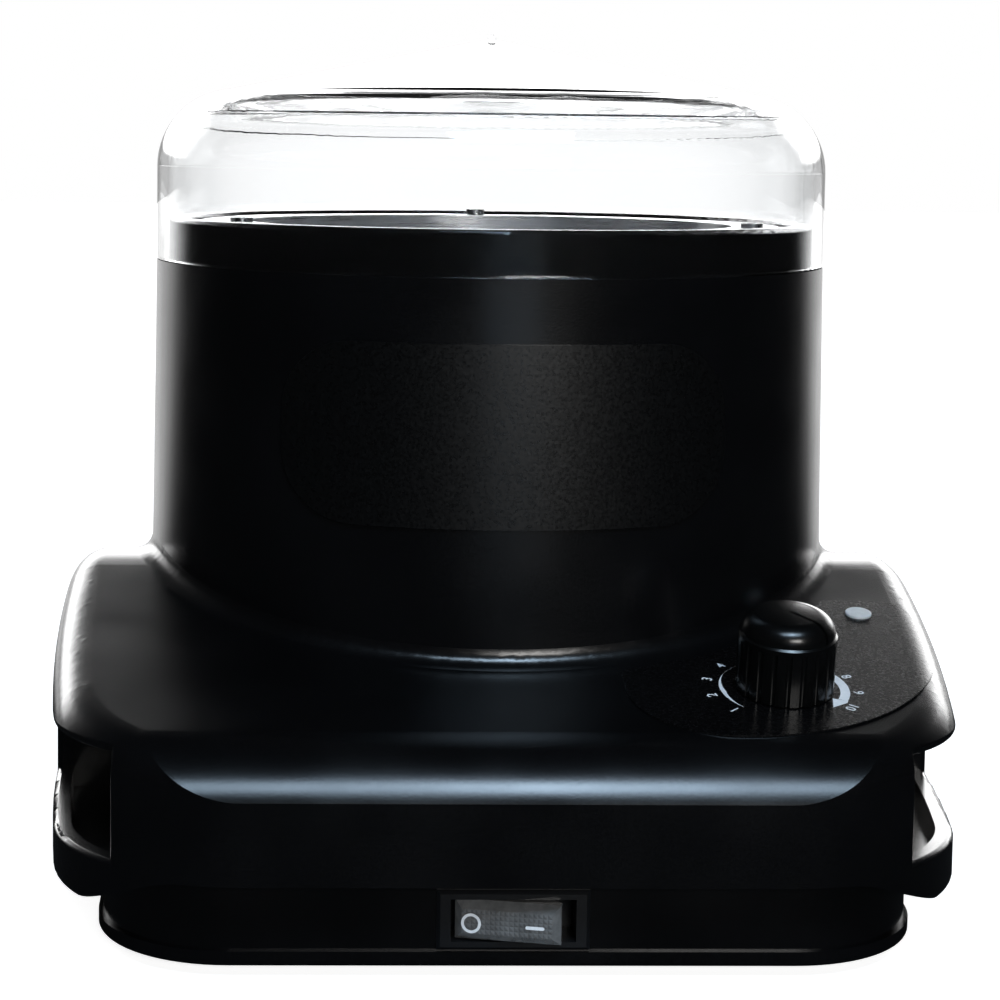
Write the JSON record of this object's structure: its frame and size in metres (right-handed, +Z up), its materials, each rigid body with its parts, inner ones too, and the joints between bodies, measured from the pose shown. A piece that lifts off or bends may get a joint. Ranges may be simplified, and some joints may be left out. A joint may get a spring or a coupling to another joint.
{
  "type": "roll on wax heater",
  "caption": "Table-top wax heater: round heating drum under a clear shallow-cone lid, on a low sloping base with dial knob, indicator lens, rocker switch and finger pockets.",
  "frame": {"origin": "on the table, under the middle of the base's bounding box", "axes": "+Z up, -Y towards the user (the side with the switch and dial), +X to the user's right"},
  "size_m": [0.1966, 0.216, 0.1881],
  "materials": {
    "housing_black": "fine satin grain, nearly black",
    "clear_lid": "clear, smooth",
    "label_film": "fine textured film",
    "plaque_film": "grainy satin",
    "knob_black": "satin gloss",
    "lens_grey": "translucent pale grey",
    "lamp_glass": "clear with an orange glow when lit",
    "switch_black": "smooth",
    "rocker_grey": "translucent grey, ribbed",
    "foot_rubber": "matt",
    "gasket_rubber": "silicone",
    "well_aluminium": "satin spun",
    "rack_aluminium": "brushed",
    "heater_steel": "mill finish",
    "plated_steel": "zinc plated",
    "insulation_felt": "needled felt",
    "fuse_ceramic": "potted end",
    "copper": "drawn copper",
    "brass": "bare brass",
    "inner_plastic": "heat-resistant moulding"
  },
  "bodies": {
    "base": {"upper_housing": "housing_black", "plinth": "housing_black", "base_plate": "housing_black", "rubber_feet": "foot_rubber", "base_screws": "plated_steel", "control_label": "label_film", "front_plaque": "plaque_film", "heating_well": "well_aluminium", "well_floor": "well_aluminium", "well_gasket": "gasket_rubber", "well_screws": "plated_steel", "band_heater": "heater_steel", "clamp_screw": "plated_steel", "clamp_nut": "plated_steel", "insulation_sleeve": "insulation_felt", "thermal_fuse": "fuse_ceramic", "fuse_clip": "heater_steel", "bulb_clip": "heater_steel", "sensing_bulb": "copper", "earth_stud": "well_aluminium", "earth_nut": "brass", "thermostat_body": "inner_plastic", "thermostat_blades": "brass", "thermostat_nut": "brass", "indicator_lens": "lens_grey", "indicator_lamp": "lamp_glass", "switch_frame": "switch_black", "switch_terminals": "brass", "cable_gland": "switch_black", "gland_nut": "switch_black", "terminal_block": "inner_plastic", "terminal_screws": "brass"},
    "lid": {"lid": "clear_lid"},
    "knob": {"thermostat_knob": "knob_black", "thermostat_shaft": "brass"},
    "rocker": {"switch_rocker": "rocker_grey"},
    "rack": {"cartridge_rack": "rack_aluminium"}
  },
  "joints": [
    {"name": "lid_lift", "type": "slide", "parent": "base", "child": "lid", "axis": [0, 0, 1], "range_m": [0, 0.25]},
    {"name": "rack_lift", "type": "slide", "parent": "base", "child": "rack", "axis": [0, 0, 1], "range_m": [0, 0.1]},
    {"name": "knob_turn", "type": "hinge", "parent": "base", "child": "knob", "pos_m": [0.0565, -0.0754, 0.0513], "axis": [0, -0.1977, 0.9803], "range_deg": [0, 266]},
    {"name": "rocker_tilt", "type": "hinge", "parent": "base", "child": "rocker", "pos_m": [0, -0.096, 0.0117], "axis": [0, 0, 1], "range_deg": [0, 24]}
  ],
  "couplings": [
    {"joint": "rack_lift", "follows": "lid_lift", "ratio": 0.4}
  ]
}
